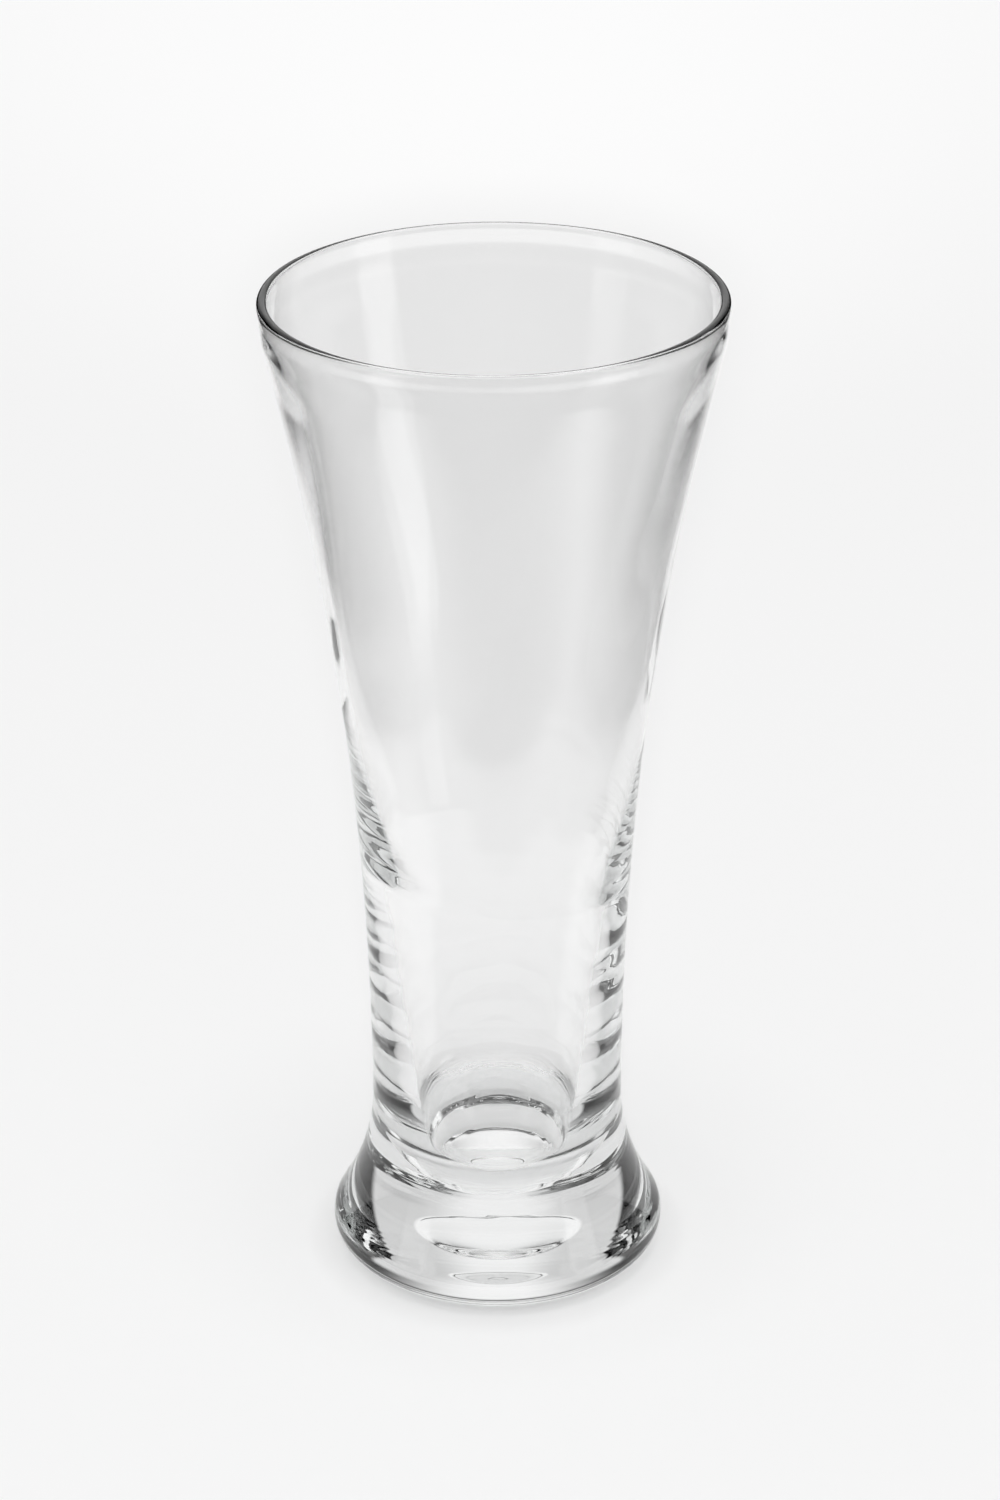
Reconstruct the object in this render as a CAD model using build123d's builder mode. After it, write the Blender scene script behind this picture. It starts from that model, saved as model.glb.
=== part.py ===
# A tall flared beer glass with a rounded lip, a slim waist and a heavy solid foot.
# Frame: Z up along the axis of the glass, origin on the table under the middle of the foot.
# All sizes are in millimetres.

import math
import os

from build123d import *

# Driving sizes of the outside
glass_height = 180.0
rim_radius = 39.2
neck_radius = 22.35
neck_height = 30.5
foot_radius = 29.8
foot_round = 4.8
wall_lean = 13.2
wall_pull_low = 56.0
wall_pull_high = 45.0

# Driving sizes of the lip: heights are measured down from the widest part of the bead
bead_width = 1.8
notch_drop = 2.7
notch_inset = 0.33
notch_wall = 1.5
notch_lean = 4.0
lip_drop = 6.45
lip_inset = 0.73
lip_wall = 1.6
lip_ease = 0.33

# Driving sizes of the cavity: walls are measured inwards from the outside at the same height
inner_pull = 25.0
shoulder_top = 108.0
shoulder_top_wall = 1.3
shoulder_lean = 6.0
shoulder_ease = 0.7
shoulder_bottom = 74.5
shoulder_bottom_wall = 3.3
shoulder_end_ease = 0.1
cup_drop = 5.7
cup_edge_wall = 8.25
cup_lean = 10.0
cup_ease = 0.1
floor_height = 11.5
floor_pull_side = 7.0
floor_pull_middle = 8.0

# Driving sizes of the underside
contact_inner_radius = 9.6
punt_depth = 0.9
punt_share = 0.88

# How often the search for a height on the wall halves its step
halvings = 40

# The lip: a slim bead with a soft notch under it
bead_height = glass_height - bead_width / 2
bead_outside = (rim_radius, bead_height)
bead_inside = (rim_radius - bead_width, bead_height)
bead_top = (rim_radius - bead_width / 2, glass_height)
notch_outside = (rim_radius - notch_inset, bead_height - notch_drop)
notch_inside = (notch_outside[0] - notch_wall, notch_outside[1])
lip_outside = (rim_radius - lip_inset, bead_height - lip_drop)
lip_inside = (lip_outside[0] - lip_wall, lip_outside[1])

# The foot: a convex swell and a concave bell that share one tangent
swell_width = foot_radius - neck_radius
swell_rise = neck_height - foot_round
bell_radius = (swell_width**2 + swell_rise**2) / (2 * swell_width) - foot_round
swell_center_radius = foot_radius - foot_round
bell_center_radius = neck_radius + bell_radius
bell_angle = math.atan2(swell_rise, bell_center_radius - swell_center_radius)


def swell_point(angle):
    return (
        swell_center_radius + foot_round * math.cos(angle),
        foot_round + foot_round * math.sin(angle),
    )


def bell_point(height):
    drop = neck_height - height
    return bell_center_radius - math.sqrt(bell_radius**2 - drop**2), height


def leaning(start, lean, length):
    # The point at this distance from start along a line leaning outwards from the vertical
    angle = math.radians(lean)
    return start[0] + length * math.sin(angle), start[1] + length * math.cos(angle)


def lean_curve(start, start_lean, end, end_lean, ease):
    # A cubic curve that leaves and arrives at given leans, with handles of this share of the height between
    reach = (end[1] - start[1]) * ease
    Bezier(start, leaning(start, start_lean, reach), leaning(end, end_lean, -reach), end)


neck = (neck_radius, neck_height)
wall_low = leaning(neck, 0, wall_pull_low)
wall_high = leaning(lip_outside, wall_lean, -wall_pull_high)


def wall_point(share):
    # The outside wall is a cubic curve from the neck to the lip; share runs from 0 to 1 along it
    rest = 1 - share
    weights = (rest**3, 3 * rest**2 * share, 3 * rest * share**2, share**3)
    corners = (neck, wall_low, wall_high, lip_outside)
    return tuple(sum(w * corner[i] for w, corner in zip(weights, corners)) for i in (0, 1))


def inside_wall(height, thickness):
    # The point this far inside the outside wall at a height, found by halving the curve
    low, high = 0.0, 1.0
    for step in range(halvings):
        middle = (low + high) / 2
        if wall_point(middle)[1] < height:
            low = middle
        else:
            high = middle
    return wall_point(low)[0] - thickness, height


shoulder_high = inside_wall(shoulder_top, shoulder_top_wall)
shoulder_low = inside_wall(shoulder_bottom, shoulder_bottom_wall)
shoulder_drop = shoulder_top - shoulder_bottom
seam_height = neck_height - cup_drop
seam_outside = bell_point(seam_height)
seam_inside = (seam_outside[0] - cup_edge_wall, seam_height)
floor_middle = (0, floor_height)
swell_end = swell_point(bell_angle)

# Rim: the lip with its fire-polished bead
with BuildPart() as rim:
    with BuildSketch(Plane.XZ):
        with BuildLine():
            lean_curve(lip_outside, wall_lean, notch_outside, notch_lean, lip_ease)
            lean_curve(notch_outside, notch_lean, bead_outside, 0, lip_ease)
            ThreePointArc(bead_outside, bead_top, bead_inside)
            lean_curve(bead_inside, 0, notch_inside, notch_lean, lip_ease)
            lean_curve(notch_inside, notch_lean, lip_inside, wall_lean, lip_ease)
            Line(lip_inside, lip_outside)
        make_face()
    revolve(axis=Axis.Z)
rim.part.label = "rim"

# Bowl: thin flared wall, the long inner shoulder and the tapering well, down to the waist
with BuildPart() as bowl:
    with BuildSketch(Plane.XZ):
        with BuildLine():
            ThreePointArc(seam_outside, bell_point((seam_height + neck_height) / 2), neck)
            Bezier(neck, wall_low, wall_high, lip_outside)
            Line(lip_outside, lip_inside)
            Bezier(
                lip_inside,
                leaning(lip_inside, wall_lean, -inner_pull),
                leaning(shoulder_high, shoulder_lean, inner_pull),
                shoulder_high,
            )
            Bezier(
                shoulder_high,
                leaning(shoulder_high, shoulder_lean, -shoulder_drop * shoulder_ease),
                leaning(shoulder_low, shoulder_lean, shoulder_drop * shoulder_end_ease),
                shoulder_low,
            )
            lean_curve(shoulder_low, shoulder_lean, seam_inside, cup_lean, cup_ease)
            Line(seam_inside, seam_outside)
        make_face()
    revolve(axis=Axis.Z)
bowl.part.label = "bowl"

# Foot: solid bell and swell round the floor of the cavity, flat ring that stands on the table, shallow punt
with BuildPart() as foot:
    with BuildSketch(Plane.XZ):
        with BuildLine():
            Line((0, punt_depth), floor_middle)
            Bezier(
                floor_middle,
                (floor_pull_middle, floor_height),
                leaning(seam_inside, cup_lean, -floor_pull_side),
                seam_inside,
            )
            Line(seam_inside, seam_outside)
            ThreePointArc(seam_outside, bell_point((seam_height + swell_end[1]) / 2), swell_end)
            ThreePointArc(swell_end, swell_point(bell_angle / 2 - math.pi / 4), (swell_center_radius, 0))
            Line((swell_center_radius, 0), (contact_inner_radius, 0))
            Bezier(
                (contact_inner_radius, 0),
                (contact_inner_radius * punt_share, punt_depth),
                (0, punt_depth),
            )
        make_face()
    revolve(axis=Axis.Z)
foot.part.label = "foot"

os.makedirs("parts", exist_ok=True)
export_step(rim.part, "parts/rim.step")
export_step(bowl.part, "parts/bowl.step")
export_step(foot.part, "parts/foot.step")

for piece in (rim.part, bowl.part, foot.part):
    box = piece.bounding_box()
    print(f"{piece.label}: {piece.volume / 1000:.1f} cm3, z {box.min.Z:.2f} to {box.max.Z:.2f}")
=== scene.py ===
import math

import bpy
import numpy as np
from mathutils import Matrix, Vector


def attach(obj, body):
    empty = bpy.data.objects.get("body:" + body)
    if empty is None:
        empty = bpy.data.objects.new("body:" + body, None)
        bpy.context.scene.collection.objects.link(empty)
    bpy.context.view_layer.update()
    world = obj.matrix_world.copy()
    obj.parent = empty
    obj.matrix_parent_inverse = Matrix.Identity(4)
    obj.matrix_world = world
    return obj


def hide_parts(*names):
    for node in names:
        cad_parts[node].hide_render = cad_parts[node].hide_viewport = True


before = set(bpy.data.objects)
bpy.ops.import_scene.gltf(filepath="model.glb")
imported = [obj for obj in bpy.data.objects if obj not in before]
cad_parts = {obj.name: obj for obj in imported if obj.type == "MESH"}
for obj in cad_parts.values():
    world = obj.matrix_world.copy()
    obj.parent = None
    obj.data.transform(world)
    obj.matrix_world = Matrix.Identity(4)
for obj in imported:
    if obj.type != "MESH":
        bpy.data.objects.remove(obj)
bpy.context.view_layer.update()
print("frame loaded")

# Glass body: one closed surface of revolution with a slightly wavy inside and bell
millimetresPerMetre = 1000.0
glassSizes = {  # millimetres and degrees, as in the solids
    "height": 180.0,
    "rimRadius": 39.2,
    "neckRadius": 22.35,
    "neckHeight": 30.5,
    "footRadius": 29.8,
    "footRound": 4.8,
    "wallLean": 13.2,
    "wallPullLow": 56.0,
    "wallPullHigh": 45.0,
    "beadWidth": 1.8,
    "notchDrop": 2.7,
    "notchInset": 0.33,
    "notchWall": 1.5,
    "notchLean": 4.0,
    "lipDrop": 6.45,
    "lipInset": 0.73,
    "lipWall": 1.6,
    "lipEase": 0.33,
    "innerPull": 25.0,
    "shoulderTop": 108.0,
    "shoulderTopWall": 1.3,
    "shoulderLean": 6.0,
    "shoulderEase": 0.7,
    "shoulderBottom": 74.5,
    "shoulderBottomWall": 3.3,
    "shoulderEndEase": 0.1,
    "cupDrop": 5.7,
    "cupEdgeWall": 8.25,
    "cupLean": 10.0,
    "cupEase": 0.1,
    "floorHeight": 11.5,
    "floorPullSide": 7.0,
    "floorPullMiddle": 8.0,
    "contactRadius": 9.6,
    "puntDepth": 0.9,
    "puntShare": 0.88,
    "ringInset": 0.6,  # the points on the flat ring stand this far inside its edges
    "segments": 184,  # steps round the axis
    "steps": {  # points along each stretch of the profile
        "punt": 16,
        "swell": 28,
        "bell": 90,
        "wall": 50,
        "lip": 10,
        "notch": 12,
        "bead": 20,
        "flare": 40,
        "shoulder": 110,
        "well": 50,
        "cup": 90,
    },
    "shoulderTilt": 2.0,  # the inner shoulder is this much higher on the left
    "tiltHeights": (52.0, 70.0, 100.0, 130.0),  # where the tilt eases in and out
    "shoulderShift": 0.3,  # the inner shoulder is this much off the axis, towards the right
    "shiftHeights": (68.0, 78.0, 110.0, 135.0),  # where the offset eases in and out
    "ripples": (  # settle waves: edges of height, length, depth, wander up and down, inner wall or not
        ((30.0, 40.0, 62.0, 74.0), 5.6, 0.01, 0.1, True),
        ((74.0, 77.0, 104.0, 114.0), 1.4, 0.0005, 0.03, True),
        ((13.0, 15.5, 20.0, 23.0), 0.9, 0.012, 0.15, True),
        ((16.0, 18.5, 22.5, 25.0), 1.2, 0.01, 0.3, False),
    ),
    "wanderTurns": ((2, 6.0), (5, 2.0)),  # waves round the axis, and the height that turns each by a radian
    "driftHeights": (104.0, 120.0, 165.0, 172.0),  # where the inner wall drifts in long upright waves
    "driftTurns": ((3, 25.0), (8, -15.0)),
    "driftDepth": 0.14,
}


def bezierRun(corners, count):
    # Cubic curve: four corners weighted by the cubic shares of a step that runs evenly from 0 to 1
    share = np.linspace(0.0, 1.0, count)[:, None]
    rest = 1 - share
    first, second, third, last = (np.array(corner, float) for corner in corners)
    return rest**3 * first + 3 * rest**2 * share * second + 3 * rest * share**2 * third + share**3 * last


def arcRun(center, radius, start, end, count):
    # Circle arc: centre plus radius times cosine and sine of an angle that runs evenly
    angle = np.linspace(start, end, count)
    return np.column_stack((center[0] + radius * np.cos(angle), center[1] + radius * np.sin(angle)))


def leaning(start, lean, length):
    # The point at a distance along a line that leans outwards from the vertical
    angle = math.radians(lean)
    return start[0] + length * math.sin(angle), start[1] + length * math.cos(angle)


def leanRun(start, startLean, end, endLean, ease, count):
    # Cubic curve that leaves and arrives at given leans, with handles of a share of the height between
    reach = (end[1] - start[1]) * ease
    handles = leaning(start, startLean, reach), leaning(end, endLean, -reach)
    return bezierRun((start, *handles, end), count)


def glassProfile(glass):
    # Radius and height from the middle of the underside, up the outside, over the lip and down the inside
    steps = glass["steps"]
    wallLean, notchLean, lipEase = glass["wallLean"], glass["notchLean"], glass["lipEase"]
    shoulderLean, cupLean = glass["shoulderLean"], glass["cupLean"]
    beadRadius = glass["beadWidth"] / 2
    beadHeight = glass["height"] - beadRadius
    beadOutside = (glass["rimRadius"], beadHeight)
    beadInside = (glass["rimRadius"] - glass["beadWidth"], beadHeight)
    notchOutside = (glass["rimRadius"] - glass["notchInset"], beadHeight - glass["notchDrop"])
    notchInside = (notchOutside[0] - glass["notchWall"], notchOutside[1])
    lipOutside = (glass["rimRadius"] - glass["lipInset"], beadHeight - glass["lipDrop"])
    lipInside = (lipOutside[0] - glass["lipWall"], lipOutside[1])
    swellWidth = glass["footRadius"] - glass["neckRadius"]
    swellRise = glass["neckHeight"] - glass["footRound"]
    bellRadius = (swellWidth**2 + swellRise**2) / (2 * swellWidth) - glass["footRound"]
    swellCenter = (glass["footRadius"] - glass["footRound"], glass["footRound"])
    bellCenter = (glass["neckRadius"] + bellRadius, glass["neckHeight"])
    bellAngle = math.atan2(swellRise, bellCenter[0] - swellCenter[0])
    neck = (glass["neckRadius"], glass["neckHeight"])
    wallLow = leaning(neck, 0, glass["wallPullLow"])
    wallHigh = leaning(lipOutside, wallLean, -glass["wallPullHigh"])
    wall = bezierRun((neck, wallLow, wallHigh, lipOutside), steps["wall"])

    def inside(height, thickness):
        # Radius of the outside wall at a height, less a thickness
        return float(np.interp(height, wall[:, 1], wall[:, 0])) - thickness, height

    shoulderHigh = inside(glass["shoulderTop"], glass["shoulderTopWall"])
    shoulderLow = inside(glass["shoulderBottom"], glass["shoulderBottomWall"])
    cupOutside = bellCenter[0] - math.sqrt(bellRadius**2 - glass["cupDrop"] ** 2)
    cupEdge = (cupOutside - glass["cupEdgeWall"], glass["neckHeight"] - glass["cupDrop"])
    share = np.linspace(0.0, 1.0, steps["punt"])[:, None]
    puntRadius = glass["contactRadius"] * (2 * (1 - share) * share * glass["puntShare"] + share**2)
    punt = np.hstack((puntRadius, glass["puntDepth"] * (1 - share**2)))
    ringInner = (glass["contactRadius"] + glass["ringInset"], 0.0)
    ringOuter = (swellCenter[0] - glass["ringInset"], 0.0)
    ring = np.array([ringInner, ringOuter])
    innerHigh = leaning(lipInside, wallLean, -glass["innerPull"])
    innerLow = leaning(shoulderHigh, shoulderLean, glass["innerPull"])
    shoulderDrop = glass["shoulderTop"] - glass["shoulderBottom"]
    shoulderHandle = leaning(shoulderHigh, shoulderLean, -shoulderDrop * glass["shoulderEase"])
    shoulderEnd = leaning(shoulderLow, shoulderLean, shoulderDrop * glass["shoulderEndEase"])
    floorSide = leaning(cupEdge, cupLean, -glass["floorPullSide"])
    floorMiddle = (0.0, glass["floorHeight"])
    floorHandle = (glass["floorPullMiddle"], glass["floorHeight"])
    outside = (
        punt,
        ring,
        arcRun(swellCenter, glass["footRound"], -math.pi / 2, bellAngle, steps["swell"]),
        arcRun(bellCenter, bellRadius, math.pi + bellAngle, math.pi, steps["bell"])[1:],
        wall[1:],
        leanRun(lipOutside, wallLean, notchOutside, notchLean, lipEase, steps["lip"])[1:],
        leanRun(notchOutside, notchLean, beadOutside, 0, lipEase, steps["notch"])[1:],
        arcRun((glass["rimRadius"] - beadRadius, beadHeight), beadRadius, 0, math.pi, steps["bead"])[1:],
    )
    within = (
        leanRun(beadInside, 0, notchInside, notchLean, lipEase, steps["notch"])[1:],
        leanRun(notchInside, notchLean, lipInside, wallLean, lipEase, steps["lip"])[1:],
        bezierRun((lipInside, innerHigh, innerLow, shoulderHigh), steps["flare"])[1:],
        bezierRun((shoulderHigh, shoulderHandle, shoulderEnd, shoulderLow), steps["shoulder"])[1:],
        leanRun(shoulderLow, shoulderLean, cupEdge, cupLean, glass["cupEase"], steps["well"])[1:],
        bezierRun((cupEdge, floorSide, floorHandle, floorMiddle), steps["cup"])[1:],
    )
    outer = np.vstack(outside)
    inner = np.vstack(within)
    return np.vstack((outer, inner)), len(outer)


def smoothStep(low, high, value):
    # Cubic ease from 0 at low to 1 at high
    share = np.clip((value - low) / (high - low), 0.0, 1.0)
    return share * share * (3 - 2 * share)


def hump(edges, value):
    # Eases up between the first two edges and down again between the last two
    return smoothStep(edges[0], edges[1], value) * (1 - smoothStep(edges[2], edges[3], value))


def turnedWaves(rows, angle, height):
    # Sum of sines of a number of turns round the axis plus the height over its own rise
    return sum(np.sin(turns * angle + height / rise) for turns, rise in rows)


def glassMesh(glass):
    # Each profile point sweeps a ring whose radius gains the settle waves that fall at its height.
    # On the inner wall it gains a slow drift and an offset too, and heights near the shoulder tilt.
    segments = glass["segments"]
    profile, innerStart = glassProfile(glass)
    ringCount = len(profile) - 2
    angle = np.arange(segments) * (2 * math.pi / segments)
    radius = np.repeat(profile[1:-1, :1], segments, axis=1)
    height = np.repeat(profile[1:-1, 1:], segments, axis=1)
    within = (np.arange(ringCount) >= innerStart - 1)[:, None]
    wander = turnedWaves(glass["wanderTurns"], angle, height)
    for heights, length, depth, sway, inner in glass["ripples"]:
        wave = np.sin(2 * math.pi * (height + sway * wander) / length + np.sin(angle))
        radius = radius + depth * wave * hump(heights, height) * (within == inner)
    drift = turnedWaves(glass["driftTurns"], angle, height)
    radius = radius + glass["driftDepth"] * drift * hump(glass["driftHeights"], height) * within
    radius = radius + glass["shoulderShift"] * np.cos(angle) * hump(glass["shiftHeights"], height) * within
    tilt = -np.cos(angle)[None, :] * glass["shoulderTilt"]
    height = height + tilt * hump(glass["tiltHeights"], height) * within
    rings = np.stack((radius * np.cos(angle), radius * np.sin(angle), height), axis=2).reshape(-1, 3)
    poles = np.array([(0.0, 0.0, profile[0, 1]), (0.0, 0.0, profile[-1, 1])])
    points = np.vstack((rings, poles)) / millimetresPerMetre
    index = np.arange(ringCount * segments).reshape(ringCount, segments)
    nextIndex = np.roll(index, -1, axis=1)
    quads = np.stack((index[:-1], nextIndex[:-1], nextIndex[1:], index[1:]), axis=2).reshape(-1, 4)
    lowPole = np.full(segments, len(rings))
    highPole = lowPole + 1
    fans = np.vstack((
        np.column_stack((lowPole, nextIndex[0], index[0])),
        np.column_stack((highPole, index[-1], nextIndex[-1])),
    ))
    mesh = bpy.data.meshes.new("glassBody")
    mesh.from_pydata(points.tolist(), [], quads.tolist() + fans.tolist())
    mesh.polygons.foreach_set("use_smooth", np.ones(len(mesh.polygons), bool))
    mesh.update()
    return mesh


glassBody = bpy.data.objects.new("glass_body", glassMesh(glassSizes))
bpy.context.scene.collection.objects.link(glassBody)
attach(glassBody, "root")
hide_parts("rim", "bowl", "foot")
print("glass body made", len(glassBody.data.polygons), "faces")

# Clear glass: sharp refraction, drawn lines as a faint bump, faint wipe marks in the gloss
glassFinish = {
    "refraction": 1.52,
    "bulkColour": (0.84, 0.87, 0.86, 1.0),
    "bulkDensity": 4.0,
    "lineScale": (30.0, 30.0, 4.0),  # drawn lines run up the wall
    "lineDetail": 1.0,
    "lineStrength": 0.5,
    "lineDepth": 0.000012,  # metres
    "wipeScale": 28.0,
    "wipeDetail": 4.0,
    "wipeEdges": (0.5, 0.8),  # noise levels between which a spot counts as wiped
    "gloss": (0.0, 0.012),  # roughness where clean and where wiped
}


def clearGlass(finish):
    # Principled glass; a stretched noise lifts the normal, a broad noise shifts the roughness
    material = bpy.data.materials.new("clearGlass")
    material.use_nodes = True
    nodes, links = material.node_tree.nodes, material.node_tree.links
    shader = nodes["Principled BSDF"]
    shader.inputs["Base Color"].default_value = (1.0, 1.0, 1.0, 1.0)
    shader.inputs["Transmission Weight"].default_value = 1.0
    shader.inputs["IOR"].default_value = finish["refraction"]
    place = nodes.new("ShaderNodeTexCoord")
    stretch = nodes.new("ShaderNodeMapping")
    stretch.inputs["Scale"].default_value = finish["lineScale"]
    lines = nodes.new("ShaderNodeTexNoise")
    lines.inputs["Scale"].default_value = 1.0  # the mapping sets the scale
    lines.inputs["Detail"].default_value = finish["lineDetail"]
    bump = nodes.new("ShaderNodeBump")
    bump.inputs["Strength"].default_value = finish["lineStrength"]
    bump.inputs["Distance"].default_value = finish["lineDepth"]
    wipes = nodes.new("ShaderNodeTexNoise")
    wipes.inputs["Scale"].default_value = finish["wipeScale"]
    wipes.inputs["Detail"].default_value = finish["wipeDetail"]
    gloss = nodes.new("ShaderNodeMapRange")
    gloss.inputs["From Min"].default_value = finish["wipeEdges"][0]
    gloss.inputs["From Max"].default_value = finish["wipeEdges"][1]
    gloss.inputs["To Min"].default_value = finish["gloss"][0]
    gloss.inputs["To Max"].default_value = finish["gloss"][1]
    bulk = nodes.new("ShaderNodeVolumeAbsorption")
    bulk.inputs["Color"].default_value = finish["bulkColour"]
    bulk.inputs["Density"].default_value = finish["bulkDensity"]
    links.new(place.outputs["Object"], stretch.inputs["Vector"])
    links.new(stretch.outputs["Vector"], lines.inputs["Vector"])
    links.new(lines.outputs["Fac"], bump.inputs["Height"])
    links.new(bump.outputs["Normal"], shader.inputs["Normal"])
    links.new(place.outputs["Object"], wipes.inputs["Vector"])
    links.new(wipes.outputs["Fac"], gloss.inputs["Value"])
    links.new(gloss.outputs["Result"], shader.inputs["Roughness"])
    links.new(bulk.outputs["Volume"], nodes["Material Output"].inputs["Volume"])
    return material


glassBody.data.materials.append(clearGlass(glassFinish))
print("clear glass set")

# Floor: a wide pale matt sheet just under the glass; reflections see only its nearer part
floorSheet = {
    "half": 6.0,  # metres
    "drop": 0.0002,
    "colour": (0.91, 0.91, 0.91, 1.0),
    "roughness": 0.9,
    "specular": 0.1,
    "frontEdge": (-0.19, -0.13),  # where reflections lose the sheet
    "sideEdge": (0.15, 0.22),
}
someBounces = 0.5  # bounces are whole numbers, so a half tells none from some


class NodeTools:
    # Small helpers that add a node, link its inputs and give back its output
    def __init__(self, tree):
        # The nodes and links of one tree
        self.nodes, self.links = tree.nodes, tree.links

    def sums(self, kind, first, second=None):
        # One Math node of a kind; numbers are set on its sockets, other values are linked to them
        node = self.nodes.new("ShaderNodeMath")
        node.operation = kind
        for socket, value in zip(node.inputs, (first, second)):
            if isinstance(value, (int, float)):
                socket.default_value = value
            elif value is not None:
                self.links.new(value, socket)
        return node.outputs["Value"]

    def eased(self, value, edges):
        # 0 below the first edge, 1 above the second, eased between them
        node = self.nodes.new("ShaderNodeMapRange")
        node.interpolation_type = "SMOOTHSTEP"
        node.inputs["From Min"].default_value = edges[0]
        node.inputs["From Max"].default_value = edges[1]
        self.links.new(value, node.inputs["Value"])
        return node.outputs["Result"]

    def fading(self, value, edges):
        # One minus the eased value: 1 below the first edge, 0 above the second
        return self.sums("SUBTRACT", 1.0, self.eased(value, edges))

    def times(self, *values):
        # Product of all the values
        product = values[0]
        for value in values[1:]:
            product = self.sums("MULTIPLY", product, value)
        return product

    def laid(self, below, above, mask):
        # below, plus the mask times the step from below to above
        return self.sums("ADD", below, self.times(mask, self.sums("SUBTRACT", above, below)))

    def reflected(self):
        # 1 once the view has been mirrored on its way, 0 while it only passes straight through
        path = self.nodes.new("ShaderNodeLightPath")
        mirrored = self.sums("GREATER_THAN", path.outputs["Glossy Depth"], someBounces)
        return self.times(mirrored, self.sums("LESS_THAN", path.outputs["Diffuse Depth"], someBounces))


def paleFloor(sheet):
    # One square at a small drop below the foot, left out of reflections past its edges
    half, drop = sheet["half"], sheet["drop"]
    mesh = bpy.data.meshes.new("paleFloor")
    corners = [(-half, -half, -drop), (half, -half, -drop), (half, half, -drop), (-half, half, -drop)]
    mesh.from_pydata(corners, [], [(0, 1, 2, 3)])
    material = bpy.data.materials.new("paleFloor")
    material.use_nodes = True
    nodes, links = material.node_tree.nodes, material.node_tree.links
    shader = nodes["Principled BSDF"]
    shader.inputs["Base Color"].default_value = sheet["colour"]
    shader.inputs["Roughness"].default_value = sheet["roughness"]
    shader.inputs["Specular IOR Level"].default_value = sheet["specular"]
    tools = NodeTools(material.node_tree)
    place = nodes.new("ShaderNodeTexCoord")
    split = nodes.new("ShaderNodeSeparateXYZ")
    links.new(place.outputs["Object"], split.inputs["Vector"])
    within = tools.times(
        tools.eased(split.outputs["Y"], sheet["frontEdge"]),
        tools.fading(tools.sums("ABSOLUTE", split.outputs["X"]), sheet["sideEdge"]),
    )
    beyond = tools.times(tools.reflected(), tools.sums("SUBTRACT", 1.0, within))
    gone = nodes.new("ShaderNodeBsdfTransparent")
    mixed = nodes.new("ShaderNodeMixShader")
    links.new(beyond, mixed.inputs["Fac"])
    links.new(shader.outputs["BSDF"], mixed.inputs[1])
    links.new(gone.outputs["BSDF"], mixed.inputs[2])
    links.new(mixed.outputs["Shader"], nodes["Material Output"].inputs["Surface"])
    mesh.materials.append(material)
    floor = bpy.data.objects.new("paleFloor", mesh)
    bpy.context.scene.collection.objects.link(floor)


paleFloor(floorSheet)
print("floor laid")

# Studio surroundings: pale all round, and for reflections a darker room with two tall softboxes
studio = {  # levels, and edges in degrees: azimuth 0 behind the glass, 90 right, elevation from the horizon
    "pale": 0.92,  # what is seen direct or straight through the glass
    "lightLow": 0.05,  # what lights the floor, near the horizon and overhead
    "lightTop": 1.22,
    "lightRise": (10, 60),
    "dark": 0.0,  # the room, its ceiling, and its back in the middle and at the sides
    "top": 1.0,
    "back": 0.95,
    "backSide": 0.68,
    "backMiddle": (5, 24),
    "under": 0.0,  # below the horizon, and there towards the camera
    "underFront": 0.04,
    "rightLevel": 1.1,
    "leftLevel": 0.9,
    "backEdge": (12, 40),  # near the horizon, and higher up
    "backHighEdge": (28, 33),
    "backLean": 0.6,  # the high edge widens by this much with elevation
    "backRise": (18, 27),
    "frontEdge": (115, 160),
    "sideRise": (40, 85),
    "frontRise": (48, 85),
    "underEdge": (0, 9),
    "rightBox": (104, 109, 125, 130),  # azimuths where a softbox starts and ends, each on its own side
    "leftBox": (104, 109, 125, 130),
    "rightHeight": (-18, -8, 30, 45),  # elevations where a softbox starts and ends
    "leftHeight": (-12, 16, 30, 45),
}


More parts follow.
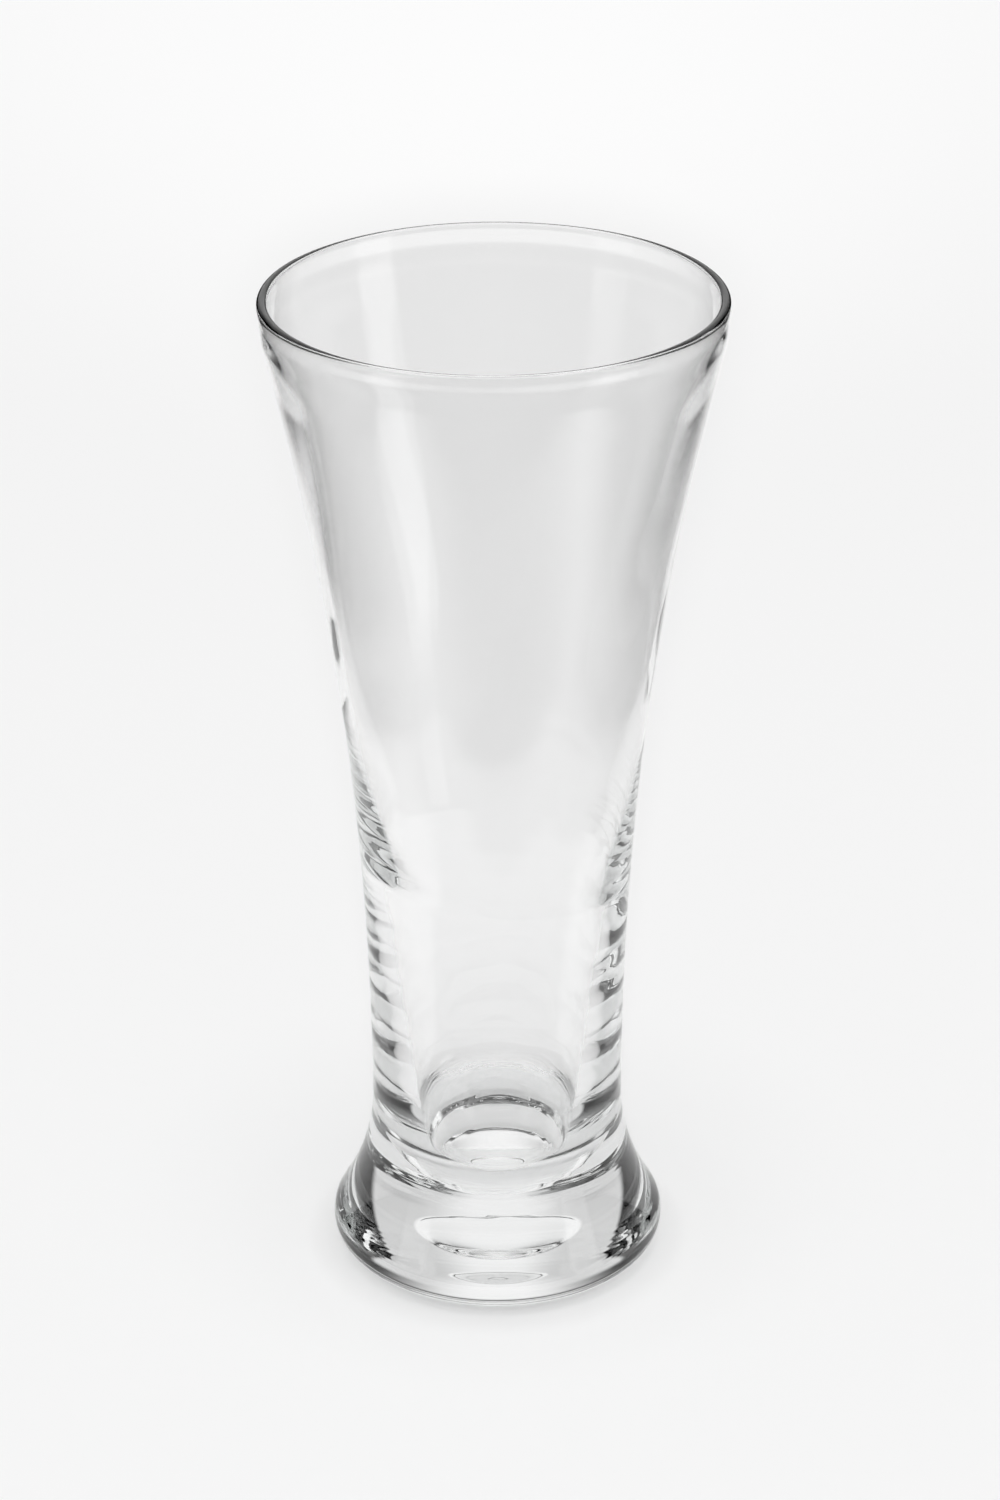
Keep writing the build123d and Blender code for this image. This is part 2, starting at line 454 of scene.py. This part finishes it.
def studioWorld(levels):
    # Each zone is an eased mask on azimuth or elevation; the zones are laid over each other in turn
    world = bpy.data.worlds.new("studio")
    world.use_nodes = True
    bpy.context.scene.world = world
    nodes, links = world.node_tree.nodes, world.node_tree.links
    tools = NodeTools(world.node_tree)
    place = nodes.new("ShaderNodeTexCoord")
    split = nodes.new("ShaderNodeSeparateXYZ")
    links.new(place.outputs["Generated"], split.inputs["Vector"])
    turn = tools.sums("DEGREES", tools.sums("ARCTAN2", split.outputs["X"], split.outputs["Y"]))
    azimuth = tools.sums("ABSOLUTE", turn)
    elevation = tools.sums("DEGREES", tools.sums("ARCSINE", split.outputs["Z"]))
    front = tools.eased(azimuth, levels["frontEdge"])
    rise = tools.laid(
        tools.eased(elevation, levels["sideRise"]), tools.eased(elevation, levels["frontRise"]), front
    )
    level = tools.laid(levels["dark"], levels["top"], rise)
    leaningTurn = tools.sums("SUBTRACT", azimuth, tools.times(elevation, levels["backLean"]))
    back = tools.laid(
        tools.fading(azimuth, levels["backEdge"]),
        tools.fading(leaningTurn, levels["backHighEdge"]),
        tools.eased(elevation, levels["backRise"]),
    )
    middle = tools.fading(azimuth, levels["backMiddle"])
    level = tools.laid(level, tools.laid(levels["backSide"], levels["back"], middle), back)
    under = tools.laid(levels["under"], levels["underFront"], front)
    level = tools.laid(under, level, tools.eased(elevation, levels["underEdge"]))
    leftTurn = tools.sums("MULTIPLY", turn, -1.0)
    for boxTurn, side in ((turn, "right"), (leftTurn, "left")):
        edges, ends = levels[side + "Box"], levels[side + "Height"]
        wide = tools.times(tools.eased(boxTurn, edges[:2]), tools.fading(boxTurn, edges[2:]))
        tall = tools.times(tools.eased(elevation, ends[:2]), tools.fading(elevation, ends[2:]))
        level = tools.laid(level, levels[side + "Level"], tools.times(wide, tall))
    level = tools.laid(levels["pale"], level, tools.reflected())
    path = nodes.new("ShaderNodeLightPath")
    lighting = tools.sums("GREATER_THAN", path.outputs["Diffuse Depth"], someBounces)
    light = tools.laid(levels["lightLow"], levels["lightTop"], tools.eased(elevation, levels["lightRise"]))
    level = tools.laid(level, light, lighting)
    links.new(level, nodes["Background"].inputs["Strength"])
    nodes["Background"].inputs["Color"].default_value = (1.0, 1.0, 1.0, 1.0)


studioWorld(studio)
print("studio set")

# Lamps: soft light from above, and from the camera a key light and a spot on the far floor
cameraSide = (0.0, -0.653, 0.407)
topLight = {"elevation": 84.0, "strength": 0.36, "spread": 22.0}  # degrees; the spread softens the shadow
keyLight = {"at": cameraSide, "power": 5.6, "radius": 0.02}
farSpot = {"at": cameraSide, "dip": 2.0, "cone": 40.0, "blend": 1.0, "power": 58.0, "radius": 0.02}


def placeLamp(name, data, place, aim):
    # A lamp turned to look at its aim, left out of the images that the glass shows
    lamp = bpy.data.objects.new(name, data)
    lamp.location = place
    lamp.rotation_euler = (Vector(aim) - Vector(place)).to_track_quat("-Z", "Y").to_euler()
    lamp.visible_camera = False
    lamp.visible_glossy = False
    lamp.visible_transmission = False
    bpy.context.scene.collection.objects.link(lamp)


def topLamp(settings):
    # Parallel light from the camera side at an elevation
    angle = math.radians(settings["elevation"])
    data = bpy.data.lights.new("topLight", "SUN")
    data.energy = settings["strength"]
    data.angle = math.radians(settings["spread"])
    placeLamp("topLight", data, (0.0, -math.cos(angle), math.sin(angle)), (0.0, 0.0, 0.0))


def keyLamp(settings):
    # A point lamp whose light does not fall off with distance
    data = bpy.data.lights.new("keyLight", "POINT")
    data.energy = settings["power"]
    data.shadow_soft_size = settings["radius"]
    data.use_nodes = True
    nodes, links = data.node_tree.nodes, data.node_tree.links
    steady = nodes.new("ShaderNodeLightFalloff")
    steady.inputs["Strength"].default_value = 1.0
    links.new(steady.outputs["Constant"], nodes["Emission"].inputs["Strength"])
    placeLamp("keyLight", data, settings["at"], (0.0, 0.0, 0.0))


def farLamp(settings):
    # A spot with a soft edge that looks a little below the horizon
    dip = math.radians(settings["dip"])
    data = bpy.data.lights.new("farSpot", "SPOT")
    data.energy = settings["power"]
    data.spot_size = math.radians(settings["cone"])
    data.spot_blend = settings["blend"]
    data.shadow_soft_size = settings["radius"]
    ahead = Vector((0.0, math.cos(dip), -math.sin(dip)))
    placeLamp("farSpot", data, settings["at"], Vector(settings["at"]) + ahead)


topLamp(topLight)
keyLamp(keyLight)
farLamp(farSpot)
print("light set")

# Camera: long lens from the front, looking down on the glass
cameraSettings = {
    "lens": 100.0,  # millimetres
    "sensor": 36.0,
    "elevation": 25.399,  # degrees
    "distance": 0.722875,  # metres
    "target": (0.000755, 0.0, 0.096915),
    "roll": -0.226,
}


def photoCamera(settings):
    # Orbit position at an elevation and distance from the target, turned a little about its own axis
    angle = math.radians(settings["elevation"])
    back = Vector((0.0, -math.cos(angle), math.sin(angle)))
    right = Vector((1.0, 0.0, 0.0))
    up = back.cross(right)
    turn = math.tan(math.radians(settings["roll"]))
    imageRight = (right + turn * up).normalized()
    imageUp = back.cross(imageRight)
    place = Vector(settings["target"]) + settings["distance"] * back
    data = bpy.data.cameras.new("photoCamera")
    data.lens = settings["lens"]
    data.sensor_width = settings["sensor"]
    camera = bpy.data.objects.new("photoCamera", data)
    camera.matrix_world = Matrix((
        (imageRight.x, imageUp.x, back.x, place.x),
        (imageRight.y, imageUp.y, back.y, place.y),
        (imageRight.z, imageUp.z, back.z, place.z),
        (0.0, 0.0, 0.0, 1.0),
    ))
    bpy.context.scene.collection.objects.link(camera)
    bpy.context.scene.camera = camera


photoCamera(cameraSettings)
bpy.context.scene.view_settings.view_transform = "Standard"

# Light paths: light piped along the wall is mirrored many times before it leaves the glass
lightPaths = {"max_bounces": 32, "glossy_bounces": 24, "transmission_bounces": 24, "blur_glossy": 0.0}
for pathName, pathCount in lightPaths.items():
    setattr(bpy.context.scene.cycles, pathName, pathCount)
print("camera placed")

bpy.context.view_layer.update()
